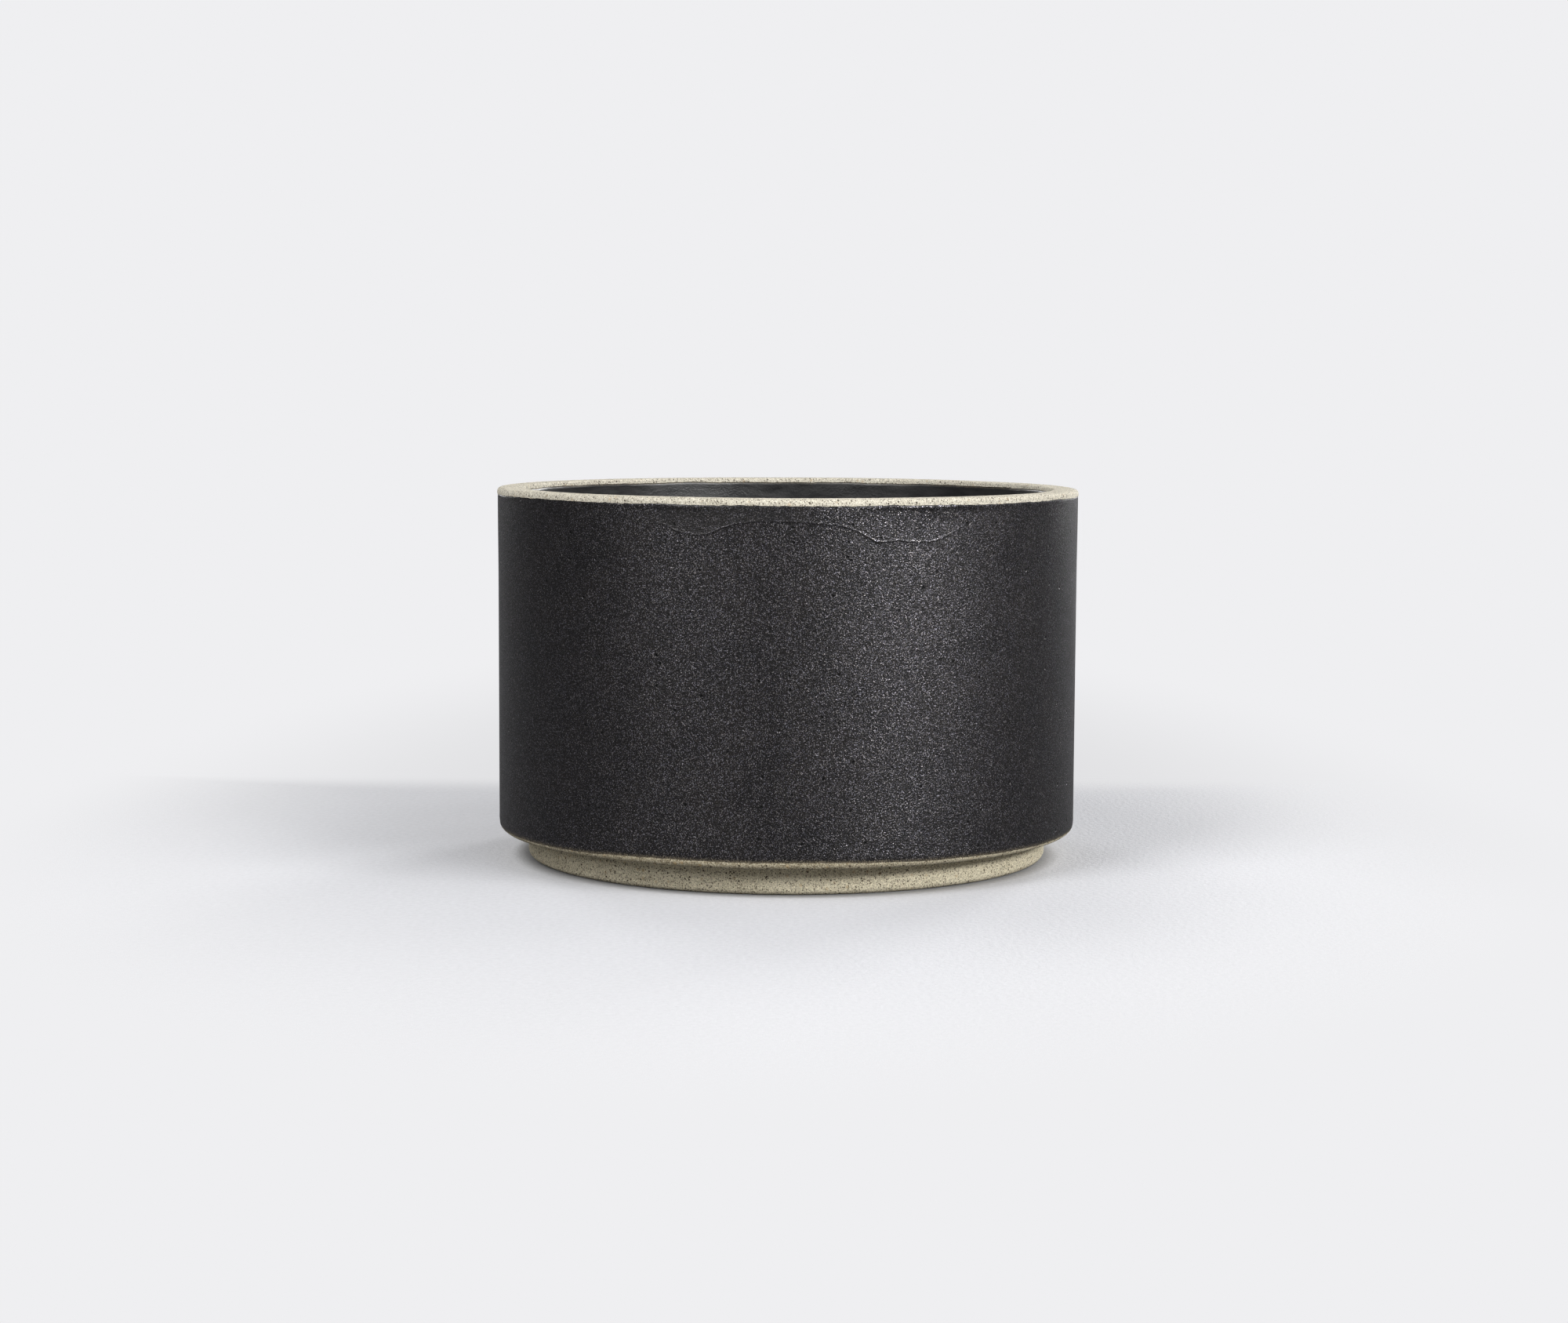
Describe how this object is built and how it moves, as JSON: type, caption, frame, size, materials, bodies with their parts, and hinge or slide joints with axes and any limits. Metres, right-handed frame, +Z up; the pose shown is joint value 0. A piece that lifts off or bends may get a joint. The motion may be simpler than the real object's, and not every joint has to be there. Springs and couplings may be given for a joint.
{
  "type": "empty candle jar",
  "caption": "Low round stoneware candle jar, open at the top, with a bare clay rim and stepped foot, dark satin glaze on the wall and inside, and a foot that nests in another jar's mouth.",
  "frame": {"origin": "centre of the foot's base, on the surface that the jar stands on", "axes": "+Z up along the jar's axis of revolution, out of its mouth; +X and +Y are equivalent, and -Y faces the viewer of the reference view"},
  "size_m": [0.085, 0.085, 0.054],
  "materials": {
    "bare_stoneware": "unglazed buff stoneware with fine dark iron specks, matte",
    "black_satin_glaze": "near-black satin glaze with a very fine sandy grain and tiny pale sparkles",
    "black_lining_glaze": "near-black satin glaze lining, slightly smoother and mottled near the rim"
  },
  "bodies": {
    "root": {"clay_body": "bare_stoneware", "outer_glaze": "black_satin_glaze", "inner_glaze": "black_lining_glaze"}
  },
  "joints": []
}
